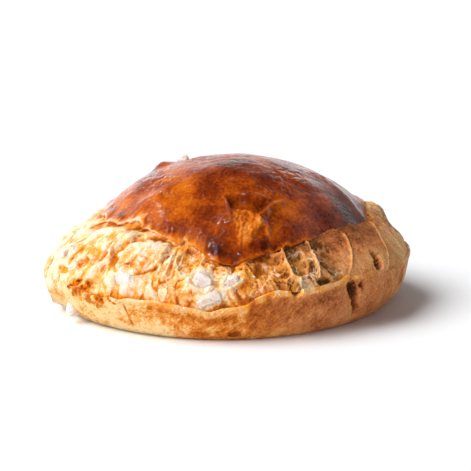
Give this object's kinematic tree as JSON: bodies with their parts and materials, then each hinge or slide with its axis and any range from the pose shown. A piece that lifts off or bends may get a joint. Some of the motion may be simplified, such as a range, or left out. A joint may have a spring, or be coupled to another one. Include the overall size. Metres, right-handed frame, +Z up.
{
  "type": "round sugar brioche",
  "caption": "Round glazed brioche, burst open round its side into a band of torn crumb between a glossy cap and a golden base crust, with nib sugar baked in.",
  "frame": {"origin": "middle of the outline, on the flat underside", "axes": "+Z up, -Y towards the front with the snipped and burst glaze, +X to the loaf's right as seen from the front"},
  "size_m": [0.1526, 0.1399, 0.0595],
  "materials": {
    "brioche": "baked brioche: glossy egg-washed brown cap, pale torn crumb, golden base crust",
    "sugar": "opaque white pressed sugar, slightly sparkling"
  },
  "bodies": {
    "root": {"brioche": "brioche", "sugar_nib_01": "sugar", "sugar_nib_02": "sugar", "sugar_nib_03": "sugar", "sugar_nib_04": "sugar", "sugar_nib_05": "sugar", "sugar_nib_06": "sugar", "sugar_nib_07": "sugar", "sugar_nib_08": "sugar", "sugar_nib_09": "sugar", "sugar_nib_10": "sugar", "sugar_nib_11": "sugar", "sugar_nib_12": "sugar", "sugar_nib_13": "sugar", "sugar_nib_14": "sugar", "sugar_nib_15": "sugar"}
  },
  "joints": []
}
